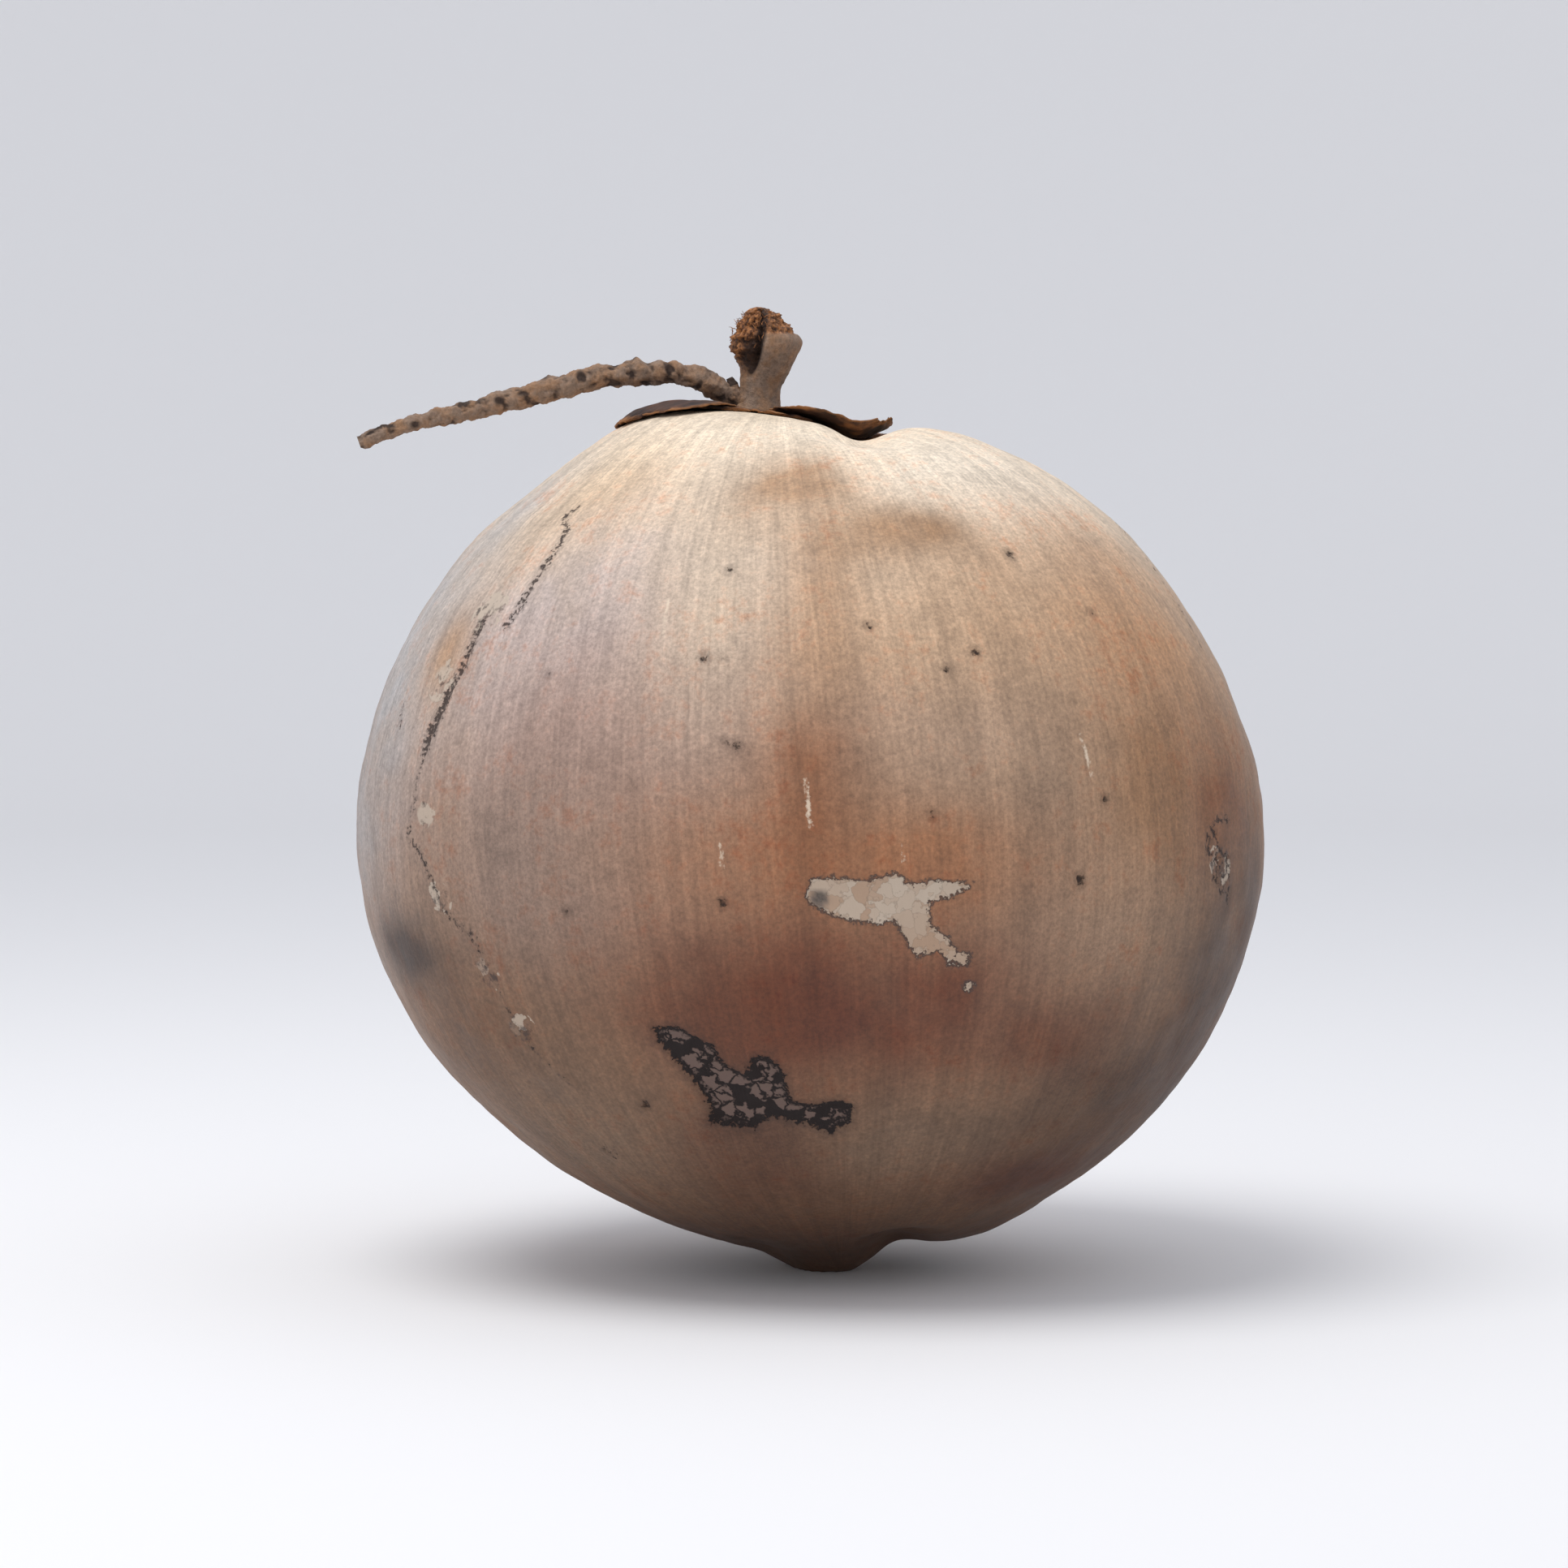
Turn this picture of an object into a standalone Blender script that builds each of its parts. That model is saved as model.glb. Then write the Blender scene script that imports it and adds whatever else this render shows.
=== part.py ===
"""A whole coconut in its dry husk, standing on the small flat of its blossom end.

Three sorts of piece grew on it: the fruit, the six leathery tepals of its calyx (three petals under
three sepals), and the flower stalk, a broken stub with the withered rest of its spikelet.
Metres, +Z up, front towards -Y. The origin is under the middle of the whole object, on the ground.
"""

import math

import bmesh
import bpy
import numpy as np
from mathutils import Vector

MM = 0.001

# The fruit: an ellipsoid with three blunt ridges.
FRUIT_CENTRE = Vector((0.5 * MM, -1.6 * MM, 95.5 * MM))
HALF_WIDTH = 99.0 * MM
HALF_DEPTH = 96.0 * MM
HALF_HEIGHT = 93.0 * MM
RIDGE_HEIGHT = 1.6 * MM
RIDGE_COUNT = 3
BACK_RIDGE_AZIMUTH = 90.0
FRUIT_SEGMENTS = 80
FRUIT_RINGS = 52
GROUND_SIZE = 100 * MM

# Swellings (+) and hollows (-): polar angle from the top, azimuth from +X, height in mm, spread.
SWELLINGS = {
    "left_shoulder": (19, 180, 5.5, 10),
    "left_brow": (45, 180, 1.5, 12),
    "crown_hollow": (8, 0, -5.5, 9),
    "calyx_seat": (11, 175, -3, 6),
    "right_shoulder": (17, -15, 2.5, 6),
    "right_slope": (64, 0, -2, 12),
    "lower_left_slope": (145, 180, -5, 20),
    "right_lobe": (155, 0, 2, 6),
    "blossom_end": (177, 0, 6.5, 6.5),
}

# Furrows: two ends as (polar, azimuth), depth in mm, half-width in degrees.
FURROWS = {
    "top_valley": ((21, -70), (7, 0), 3, 3),
    "top_saddle": ((19, 0), (30, 60), 2, 4.5),
    "blossom_fold_front": ((168, 0), (157, -60), 3.5, 3),
    "blossom_fold_back": ((173, 0), (160, 60), 3.5, 3),
    "blossom_crease_left": ((175, -140), (160, -115), 1, 2),
}

# The calyx: thin scales in two whorls, laid over the stalk end.
CALYX_POLAR = 9.6
CALYX_AZIMUTH = 140.0
SCALE_THICKNESS = 1.0 * MM
SCALE_GAP = 0.35 * MM
PETAL_LIFT = 0.7 * MM
SEPAL_LIFT = PETAL_LIFT + SCALE_THICKNESS + SCALE_GAP
SCALE_ROWS = 9
SCALE_COLUMNS = 8

# Each scale: azimuth about the calyx, length, width, curl of its tip in mm.
PETALS = {
    "petal_left": (150, 31, 36, 0.2),
    "petal_right": (30, 31, 36, 0.8),
    "petal_front": (-90, 20, 34, 0.0),
}
SEPALS = {
    "sepal_right": (-28, 33, 30, 2.4),
    "sepal_left": (-150, 32, 32, -0.4),
    "sepal_back": (91, 31, 34, 0.8),
}
SCALE_FOOT = 7.4 * MM

# The stalk: centre points (x, y, z) from the middle of its foot, and half-thicknesses, in mm.
STALK_GAP = 1.2 * MM
STUB = (
    ((0.0, 0.0, 0.0), 5.9),
    ((0.3, 0.0, 2.2), 5.3),
    ((0.7, -0.2, 5.5), 4.6),
    ((1.3, -0.5, 10.0), 4.9),
    ((1.8, -0.8, 15.5), 7.2),
    ((1.2, -1.0, 20.5), 6.6),
    ((0.4, -1.2, 24.8), 2.6),
)
SPIKELET = (
    ((-1.5, -0.4, 3.6), 2.6),
    ((-6.0, -0.8, 4.6), 3.0),
    ((-12.5, -1.4, 6.8), 2.7),
    ((-20.0, -2.4, 8.0), 2.9),
    ((-32.0, -4.0, 7.6), 2.9),
    ((-45.0, -5.6, 5.6), 2.8),
    ((-59.0, -7.2, 2.2), 2.5),
    ((-73.0, -8.6, -1.6), 2.1),
    ((-87.6, -10.0, -5.4), 1.7),
)
TUBE_RESOLUTION = 4


def direction(polar, azimuth):
    polar, azimuth = math.radians(polar), math.radians(azimuth)
    return np.array((
        math.sin(polar) * math.cos(azimuth),
        math.sin(polar) * math.sin(azimuth),
        math.cos(polar),
    ))


def degrees_from(point, towards):
    """Angle between each unit vector in towards and the unit vector point."""
    return np.degrees(np.arccos(np.clip(towards @ point, -1, 1)))


def degrees_from_arc(start, end, towards):
    """Angle between each unit vector in towards and the great-circle arc from start to end."""
    side = np.cross(start, end)
    side /= np.linalg.norm(side)
    onward = np.cross(side, start)
    span = math.acos(float(np.clip(start @ end, -1, 1)))
    along = np.clip(np.arctan2(towards @ onward, towards @ start), 0, span)[..., None]
    nearest = np.cos(along) * start + np.sin(along) * onward
    return np.degrees(np.arccos(np.clip((nearest * towards).sum(-1), -1, 1)))


def fruit_radius(towards):
    """Distance from the fruit's centre to its skin, along each unit vector in towards."""
    halves = np.array((HALF_WIDTH, HALF_DEPTH, HALF_HEIGHT))
    radius = 1 / np.linalg.norm(towards / halves, axis=-1)
    azimuth = np.arctan2(towards[..., 1], towards[..., 0])
    around = RIDGE_COUNT * (azimuth - math.radians(BACK_RIDGE_AZIMUTH))
    radius += RIDGE_HEIGHT * np.cos(around) * (1 - towards[..., 2] ** 2)
    for polar, azimuth, height, spread in SWELLINGS.values():
        away = degrees_from(direction(polar, azimuth), towards)
        radius += height * MM * np.exp(-0.5 * (away / spread) ** 2)
    for start, end, depth, half_width in FURROWS.values():
        away = degrees_from_arc(direction(*start), direction(*end), towards)
        radius -= depth * MM * np.exp(-0.5 * (away / half_width) ** 2)
    return radius


def fruit_point(towards):
    """Point of the skin along one vector from the fruit's centre."""
    unit = np.array(towards) / np.linalg.norm(towards)
    return FRUIT_CENTRE + Vector(unit * float(fruit_radius(unit)))


def material(name, colour, roughness):
    made = bpy.data.materials.new(name)
    made.use_nodes = True
    shader = made.node_tree.nodes["Principled BSDF"]
    shader.inputs["Base Color"].default_value = (*colour, 1)
    shader.inputs["Roughness"].default_value = roughness
    shader.inputs["Metallic"].default_value = 0.0
    return made


def object_from(name, bm, finish):
    mesh = bpy.data.meshes.new(name)
    bm.to_mesh(mesh)
    bm.free()
    mesh.materials.append(finish)
    mesh.shade_smooth()
    made = bpy.data.objects.new(name, mesh)
    return made


def add_boolean(target, operation, other, cutters):
    cutters.objects.link(other)
    other.hide_render = True
    other.display_type = "WIRE"
    boolean = target.modifiers.new(other.name, "BOOLEAN")
    boolean.operation = operation
    boolean.solver = "EXACT"
    boolean.object = other


def make_fruit(finish, cutters):
    """A UV sphere pushed out to the fruit's shape, then cut flat where it meets the ground."""
    bm = bmesh.new()
    bmesh.ops.create_uvsphere(bm, u_segments=FRUIT_SEGMENTS, v_segments=FRUIT_RINGS, radius=1)
    towards = np.array([vert.co.normalized() for vert in bm.verts])
    for vert, unit, radius in zip(bm.verts, towards, fruit_radius(towards)):
        vert.co = FRUIT_CENTRE + Vector(unit * radius)
    fruit = object_from("fruit", bm, finish)
    ground = bmesh.new()
    bmesh.ops.create_cube(ground, size=GROUND_SIZE)
    bmesh.ops.translate(ground, verts=ground.verts, vec=(0, 0, -GROUND_SIZE / 2))
    add_boolean(fruit, "DIFFERENCE", object_from("ground", ground, finish), cutters)
    return fruit


def half_width_at(share, width):
    """Half the width of a calyx scale at a share of its length: a narrow foot and a round tip."""
    widest, foot = 0.55, 0.34
    if share < widest:
        rise = math.sin(0.5 * math.pi * share / widest)
        return 0.5 * width * (foot + (1 - foot) * rise)
    fall = (share - widest) / (1 - widest)
    return 0.5 * width * math.sqrt(max(1 - fall * fall, 0.02))


def make_scale(name, azimuth, length, width, curl, lift, finish):
    """One calyx scale: an open patch that follows the skin, thickened outwards."""
    up = Vector(direction(CALYX_POLAR, CALYX_AZIMUTH))
    right = (Vector((1, 0, 0)) - up * up.x).normalized()
    back = up.cross(right)
    out = right * math.cos(math.radians(azimuth)) + back * math.sin(math.radians(azimuth))
    side = up.cross(out)
    seat = (fruit_point(up) - FRUIT_CENTRE).length
    bm = bmesh.new()
    rows = []
    for row in range(SCALE_ROWS + 1):
        share = row / SCALE_ROWS
        reach = SCALE_FOOT + share * (length * MM - SCALE_FOOT)
        half = half_width_at(share, width * MM)
        points = []
        for column in range(SCALE_COLUMNS + 1):
            across = (2 * column / SCALE_COLUMNS - 1) * half
            towards = (up * seat + out * reach + side * across).normalized()
            height = lift + curl * MM * share**3
            points.append(bm.verts.new(fruit_point(towards) + towards * height))
        rows.append(points)
    for near, far in zip(rows, rows[1:]):
        for column in range(SCALE_COLUMNS):
            bm.faces.new((near[column], near[column + 1], far[column + 1], far[column]))
    bmesh.ops.recalc_face_normals(bm, faces=bm.faces)
    if bm.faces[:][0].normal.dot(up) < 0:
        bmesh.ops.reverse_faces(bm, faces=bm.faces)
    scale = object_from(name, bm, finish)
    thicken = scale.modifiers.new("thickness", "SOLIDIFY")
    thicken.thickness = SCALE_THICKNESS
    thicken.offset = 1
    return scale


def make_tube(name, foot, points):
    """A rod of changing thickness along centre points, as a closed mesh."""
    path = bpy.data.curves.new(name, "CURVE")
    path.dimensions = "3D"
    path.bevel_depth = MM
    path.bevel_resolution = TUBE_RESOLUTION
    path.use_fill_caps = True
    spline = path.splines.new("NURBS")
    spline.points.add(len(points) - 1)
    for corner, (offset, half) in zip(spline.points, points):
        corner.co = (*(foot + Vector(offset) * MM), 1)
        corner.radius = half
    spline.order_u = 3
    spline.use_endpoint_u = True
    spline.resolution_u = TUBE_RESOLUTION
    guide = bpy.data.objects.new(name, path)
    bpy.context.scene.collection.objects.link(guide)
    mesh = bpy.data.meshes.new_from_object(guide)
    bpy.data.objects.remove(guide)
    bm = bmesh.new()
    bm.from_mesh(mesh)
    bmesh.ops.remove_doubles(bm, verts=bm.verts, dist=0.01 * MM)
    bmesh.ops.recalc_face_normals(bm, faces=bm.faces)
    return bm


def make_stalk(finish, cutters):
    """The stub, joined to the spikelet that grew from its side."""
    up = Vector(direction(CALYX_POLAR, CALYX_AZIMUTH))
    foot = fruit_point(up) + up * STALK_GAP
    stalk = object_from("stalk", make_tube("stub_path", foot, STUB), finish)
    spikelet = object_from("spikelet", make_tube("spikelet_path", foot, SPIKELET), finish)
    add_boolean(stalk, "UNION", spikelet, cutters)
    return stalk


def main():
    for old in list(bpy.data.objects):
        bpy.data.objects.remove(old)
    collection = bpy.data.collections.new("coconut")
    bpy.context.scene.collection.children.link(collection)
    cutters = bpy.data.collections.new("cutters")
    cutters.hide_render = True
    bpy.context.scene.collection.children.link(cutters)
    husk = material("dry_husk", (0.40, 0.27, 0.18), 0.6)
    scale = material("calyx_scale", (0.10, 0.06, 0.045), 0.8)
    bark = material("stalk_bark", (0.22, 0.15, 0.11), 0.85)
    pieces = [make_fruit(husk, cutters), make_stalk(bark, cutters)]
    pieces += [make_scale(name, *size, PETAL_LIFT, scale) for name, size in PETALS.items()]
    pieces += [make_scale(name, *size, SEPAL_LIFT, scale) for name, size in SEPALS.items()]
    for piece in pieces:
        collection.objects.link(piece)


main()
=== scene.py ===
# Looks for a whole dry coconut: the husk with its scars, the calyx scales and the stalk.
import math

import bmesh
import bpy
import numpy as np
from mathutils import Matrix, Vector, noise


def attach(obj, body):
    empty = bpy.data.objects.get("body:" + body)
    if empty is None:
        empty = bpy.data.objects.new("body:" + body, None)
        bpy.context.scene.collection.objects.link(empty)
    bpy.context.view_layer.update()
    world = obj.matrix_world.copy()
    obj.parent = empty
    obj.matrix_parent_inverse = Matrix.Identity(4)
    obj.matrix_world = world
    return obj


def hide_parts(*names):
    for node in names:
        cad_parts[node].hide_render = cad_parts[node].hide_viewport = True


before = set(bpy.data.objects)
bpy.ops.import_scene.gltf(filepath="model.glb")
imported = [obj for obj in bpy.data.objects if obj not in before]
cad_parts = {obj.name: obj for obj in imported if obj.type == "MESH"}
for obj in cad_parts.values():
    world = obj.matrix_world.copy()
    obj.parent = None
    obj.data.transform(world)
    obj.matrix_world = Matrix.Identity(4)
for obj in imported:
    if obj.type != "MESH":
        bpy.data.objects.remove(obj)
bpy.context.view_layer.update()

mm = 0.001


def linear(hexColour):
    channels = [int(hexColour[i:i + 2], 16) / 255 for i in (1, 3, 5)]
    return [c / 12.92 if c <= 0.04045 else ((c + 0.055) / 1.055) ** 2.4 for c in channels]


def addNode(tree, kind, settings, links=(), output=0):
    node = tree.nodes.new(kind)
    sockets = {}
    for name, value in settings.items():
        if isinstance(name, str) and hasattr(node, name):
            setattr(node, name, value)
        else:
            sockets[name] = value
    for name, value in sockets.items():
        node.inputs[name].default_value = (*linear(value), 1) if isinstance(value, str) else value
    for name, source in links:
        tree.links.new(source, node.inputs[name])
    return node.outputs[output] if node.outputs else node


def newMaterial(name):
    material = bpy.data.materials.new(name)
    material.use_nodes = True
    material.node_tree.nodes.clear()
    return material, material.node_tree


# the fruit's own form, the same as the solid in the frame: angles in degrees, heights in mm
husk = {
    "centre": (0.5, -1.6, 95.5),
    "halves": (99.0, 96.0, 93.0),
    "ridgeHeight": 1.6,
    "ridges": 3,
    "swellings": {                       # drop from the top, azimuth, height, spread
        "leftShoulder": (19, 180, 5.5, 10),
        "leftBrow": (45, 180, 1.5, 12),
        "crownHollow": (8, 0, -5.5, 9),
        "calyxSeat": (11, 175, -3, 6),
        "rightShoulder": (17, -15, 2.5, 6),
        "rightSlope": (64, 0, -2, 12),
        "lowerLeftSlope": (145, 180, -5, 20),
        "rightLobe": (155, 0, 2, 6),
        "blossomEnd": (177, 0, 6.5, 6.5),
    },
    "furrows": {                         # two ends as (drop, azimuth), depth, half-width
        "topValley": ((21, -70), (7, 0), 3, 3),
        "topSaddle": ((19, 0), (30, 60), 2, 4.5),
        "blossomFoldFront": ((168, 0), (157, -60), 3.5, 3),
        "blossomFoldBack": ((173, 0), (160, 60), 3.5, 3),
        "blossomCreaseLeft": ((175, -140), (160, -115), 1, 2),
    },
    "stalkEnd": (9.6, 140),              # where the calyx sits
    "meridians": 420,
    "parallels": 236,
    "frontCrowding": 0.38,               # share by which the mesh is finer on the marked side
    "slowDents": (0.55, 38),             # height and size of the dents of drying
    "smallDents": (0.22, 11),
    "sunken": {                          # depth of each sort of mark, and width of its edge
        "paleScar": (0.45, 0.8),
        "darkScar": (0.6, 0.9),
        "crack": (0.5, 0.6),
        "pit": (0.7, 0.6),
    },
    "rimHeight": 0.2,                    # raised rim round a mark, and its width
    "rimWidth": 0.9,
    "fibreRadius": 95,                   # where the fibre pattern is measured, so that it is in mm
}


def direction(drop, azimuth):
    drop, azimuth = math.radians(drop), math.radians(azimuth)
    return np.array((
        math.sin(drop) * math.cos(azimuth),
        math.sin(drop) * math.sin(azimuth),
        math.cos(drop),
    ))


def towards(turn, drop):                 # turn: degrees to the right of the front
    return direction(drop, turn - 90)


def arcDistance(start, end, units):
    side = np.cross(start, end)
    side /= np.linalg.norm(side)
    onward = np.cross(side, start)
    span = math.acos(float(np.clip(start @ end, -1, 1)))
    along = np.clip(np.arctan2(units @ onward, units @ start), 0, span)[..., None]
    nearest = np.cos(along) * start + np.sin(along) * onward
    return np.degrees(np.arccos(np.clip((nearest * units).sum(-1), -1, 1)))


def skinRadius(units):
    radius = 1 / np.linalg.norm(units / np.array(husk["halves"]), axis=-1)
    around = np.arctan2(units[..., 1], units[..., 0]) - math.pi / 2
    radius += husk["ridgeHeight"] * np.cos(husk["ridges"] * around) * (1 - units[..., 2] ** 2)
    for drop, azimuth, height, spread in husk["swellings"].values():
        away = np.degrees(np.arccos(np.clip(units @ direction(drop, azimuth), -1, 1)))
        radius += height * np.exp(-0.5 * (away / spread) ** 2)
    for start, end, depth, halfWidth in husk["furrows"].values():
        away = arcDistance(direction(*start), direction(*end), units)
        radius -= depth * np.exp(-0.5 * (away / halfWidth) ** 2)
    return radius * mm


def skinPoints(units):
    units = units / np.linalg.norm(units, axis=-1, keepdims=True)
    return np.array(husk["centre"]) * mm + units * skinRadius(units)[..., None]


# marks on the skin: places are (turn, drop) in degrees, sizes in mm
marks = {
    "paleScar": [
        (-0.8, 95.4), (-0.1, 92.8), (2.4, 92.6), (6.1, 93), (10.3, 92.2), (11.6, 93.5), (15.4, 93.1),
        (19.7, 93.5), (17.6, 94.7), (14, 95.6), (14.5, 98.7), (17.2, 100.6), (18.2, 102.2), (17.7, 103.7),
        (16, 101.7), (14, 101.7), (13.1, 102.4), (11.4, 99.8), (10.4, 97.9), (6.2, 98.1), (2, 96.9),
    ],
    "darkScar": [
        (-21.3, 111.8), (-18.2, 111.7), (-13.5, 114.2), (-12.5, 116.6), (-9.5, 118.6), (-7.9, 115.8),
        (-6.2, 115.7), (-4.3, 117.6), (-3.1, 122.5), (-0.1, 123.1), (4.1, 122.4), (6, 123.1), (5.8, 126.1),
        (2.7, 127.7), (-1.1, 126), (-6.6, 124.9), (-8.9, 127.1), (-16, 126), (-15, 123.7), (-17.1, 119.1),
        (-20.8, 113.8),
    ],
    "ashEnd": (0.8, 95.2, 1.8),
    "islands": [(19.1, 102.8, 1.3), (20.1, 106.2, 0.9)],     # turn, drop, radius
    "cracks": {                                              # half-width, then places
        "upper": (0.2, [(-50.3, 41.9), (-51.5, 44), (-47, 46.9), (-45.7, 51), (-46.3, 55.3), (-46.1, 58.3),
                         (-47.8, 61.9)]),
        "upperEnd": (0.1, [(-45.7, 58.8), (-46.8, 62.1)]),
        "side": (0.5, [(-52.7, 62), (-52.8, 68.1), (-54.3, 74.5), (-55.4, 78.9)]),
        "sideWide": (1.0, [(-53.8, 70.5), (-54.6, 75), (-55.4, 77.5)]),
        "sideLow": (-0.1, [(-55.4, 78.9), (-56.2, 85.8), (-57.1, 88.5), (-53.4, 91.4), (-51.6, 94.7),
                          (-50, 97.8), (-46.1, 100.1), (-45.2, 102.9)]),
        "sideWorn": (-0.45, [(-45.2, 102.9), (-43.1, 107.1), (-42.1, 112.4), (-40.7, 114.9), (-36.3, 120.4)]),
        "edge": (0.1, [(-64.7, 73.1), (-63.9, 75.6)]),
        "rightRib": (-0.2, [(80.1, 43.9), (75.5, 48.2), (71.9, 52.9), (69.5, 59), (68.2, 65.3)]),
        "knotRing": (0.2, [(56, 89), (57.6, 88.4), (58.6, 90), (57.4, 91.4), (55.8, 90.6), (56, 89)]),
        "knotRingLow": (0.25, [(58.4, 91), (60.6, 91.2), (61, 93.4), (59.2, 94), (58, 92.6), (58.4, 91)]),
        "knotTail": (0.1, [(57, 93.4), (59.6, 95.6), (61.3, 95), (61.6, 97)]),
        "knotTop": (0.1, [(56, 88.4), (58.2, 86.8), (61.5, 87)]),
        "smudgeLow": (0.0, [(-38, 131.6), (-36.2, 133.2), (-35.5, 131.8)]),
        "backSplit": (0.1, [(128, 60), (131, 72), (130, 84), (134, 93)]),
        "backGraze": (0.2, [(-150, 96), (-143, 104), (-139, 115)]),
    },
    "flakyZones": [(-56.2, 69.5, 4.0), (-53.5, 86, 2.6), (-51, 96, 3.0), (-45, 105, 3.4), (-41.5, 112, 3.0),
                   (-52.5, 60, 4.5), (59, 92, 4.0)],
    "pits": [(33.9, 93.2, 1.1), (-11, 95.7, 0.95), (-14.7, 65.3, 0.9), (22.4, 64.9, 0.9), (18.1, 67, 0.65),
             (33.5, 50.6, 0.9), (43, 60, 0.65), (-9.5, 76.6, 0.8), (-11, 76.2, 0.5), (-13.1, 52.5, 0.6),
             (7.9, 60.9, 0.6), (14.5, 85, 0.7), (37.7, 83.7, 0.7), (-12.4, 65.3, 0.4), (-36.6, 68.3, 0.6),
             (-25.4, 123.3, 0.9), (-31, 97, 0.6), (140, 70, 0.9), (170, 95, 1.0), (-120, 80, 0.8),
             (100, 110, 0.8), (-165, 60, 0.7), (112, 78, 0.6), (-100, 118, 0.9), (155, 120, 0.8)],
    "pitShrink": 0.25,                                       # mm taken off every pit's radius
    "scratches": [(0.3, [(-0.9, 80.6), (-0.3, 86.5)]), (0.22, [(-11.2, 88.5), (-11, 91.4)]),
                  (0.32, [(35.2, 75.8), (36.2, 81.2)]), (0.2, [(10.9, 88.5), (11, 90.7)]),
                  (0.2, [(-21.5, 57), (-21, 63)]), (0.25, [(150, 84), (152, 92)])],
}

# colour of the skin by drop from the top: pale at the crown and darker towards the foot, partly the husk's
# own brown lower half and partly painted shade of light that falls from above; then broad stains over it
dropColoursAndShade = {
    "crown": (15, "#e4cdaf"),
    "waist": (85, "#a07c5e"),
    "foot": (160, "#664833"),
}
stainStrength = 0.85
stains = {                               # turn, drop, spread across, spread along, colour
    "crownCream": (-5, 28, 30, 14, "#f0e0c8"),
    "crownRight": (35, 36, 14, 10, "#efe0ca"),
    "ochreShoulder": (-45, 42, 10, 10, "#d2af84"),
    "greyBrow": (-36, 64, 15, 17, "#c0b3ae"),
    # painted reflection: a pale blue-grey band down the left edge, the sheen of the sky at a grazing angle
    "paintedRimReflection": (-72, 68, 9, 22, "#b6b5b5"),
    "rosyGrey": (-26, 76, 15, 12, "#a98a7a"),
    "paleStreak": (-15, 52, 5, 14, "#d4bca2"),
    "brownVeil": (2, 62, 4, 14, "#b08866"),
    "tanRight": (26, 62, 14, 12, "#c9a583"),
    "orangeShoulder": (50, 62, 10, 12, "#bb8b62"),
    "greyTanMiddle": (14, 76, 12, 6, "#b2937a"),
    "tanLeft": (-15, 92, 12, 7, "#a5795a"),
    "greyWaist": (-38, 92, 14, 9, "#937b6c"),
    "greyRight": (34, 92, 13, 18, "#a68a72"),
    "orangeBand": (10, 91, 14, 5, "#a06c48"),
    "rustRise": (0, 84, 5, 8, "#8d5a39"),
    "rustMiddle": (6, 108, 17, 8, "#743f24"),
    "rustHeart": (0, 110, 12, 6, "#5f2d1a"),
    "rustLeft": (-12, 110, 9, 6, "#693a22"),
    "rustRight": (33, 114, 8, 4, "#6f3c22"),
    "rustLow": (-10, 132, 9, 9, "#512c1c"),
    "cheekLeft": (-52, 116, 12, 10, "#6a4a33"),
    "greyLowLeft": (-42, 130, 11, 9, "#79624f"),
    "greyLow": (20, 130, 11, 6, "#7f6652"),
    "rightTan": (46, 82, 7, 8, "#9c7350"),
    # painted shade: the lower right side darkened where it turns away from the light
    "paintedShadeRight": (70, 106, 12, 16, "#36261e"),
    "paintedShadeLowRight": (55, 122, 16, 11, "#432d20"),
    "rustFoot": (45, 138, 9, 4, "#552e1d"),
    # partly brown stain, partly painted shade on the underside
    "footStainAndShade": (0, 162, 25, 10, "#573b2a"),
    "brownFleck": (-2, 36, 6, 6, "#a9805a"),
    "brownSmudge": (8, 46, 6, 4, "#a9825f"),
    "smudgeRight": (18, 46, 5, 3, "#a27a55"),
    "flakyTan": (-58, 66, 3, 4, "#b08a68"),
    "knotRust": (60, 84, 5, 6, "#7a4a2b"),
    "bruise": (-61, 103, 7, 3.5, "#33251f"),
    "backRust": (168, 112, 26, 14, "#7d4a2c"),
    "backGrey": (128, 70, 20, 22, "#a58f82"),
    "backCream": (-160, 44, 26, 14, "#b79f8a"),
    "backOrange": (-128, 92, 14, 10, "#a4704c"),
    "backShade": (110, 128, 20, 14, "#5b4234"),
    "backBruise": (-150, 126, 9, 6, "#4a3a36"),
    "sideTan": (96, 88, 12, 16, "#a07a62"),
    "sideGrey": (-100, 76, 14, 18, "#9d9490"),
    "sideBrown": (-98, 118, 12, 12, "#6b5040"),
}


def washColours(turn, drop, wobble):
    levels = [level for level, shade in dropColoursAndShade.values()]
    shades = np.array([linear(shade) for level, shade in dropColoursAndShade.values()])
    colour = np.stack([np.interp(drop, levels, shades[:, channel]) for channel in range(3)], -1)
    for stainTurn, stainDrop, across, along, shade in stains.values():
        sideways = (turn - stainTurn + 180) % 360 - 180
        sideways = sideways * math.sin(math.radians(stainDrop))
        reach = (sideways / across) ** 2 + ((drop - stainDrop) / along) ** 2
        cover = stainStrength * np.exp(-0.5 * np.clip(reach + wobble, 0, None))
        colour += (np.array(linear(shade)) - colour) * cover[:, None]
    return colour


def smoothNoise(points, size, octaves=3, offset=0.0):
    # fractal noise of about -0.5 to 0.5, with features of that size in mm
    return np.array([
        noise.fractal(Vector(p) / (size * mm) + Vector((offset, 0, 0)), 0.7, 2.0, octaves)
        for p in points
    ])


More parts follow.
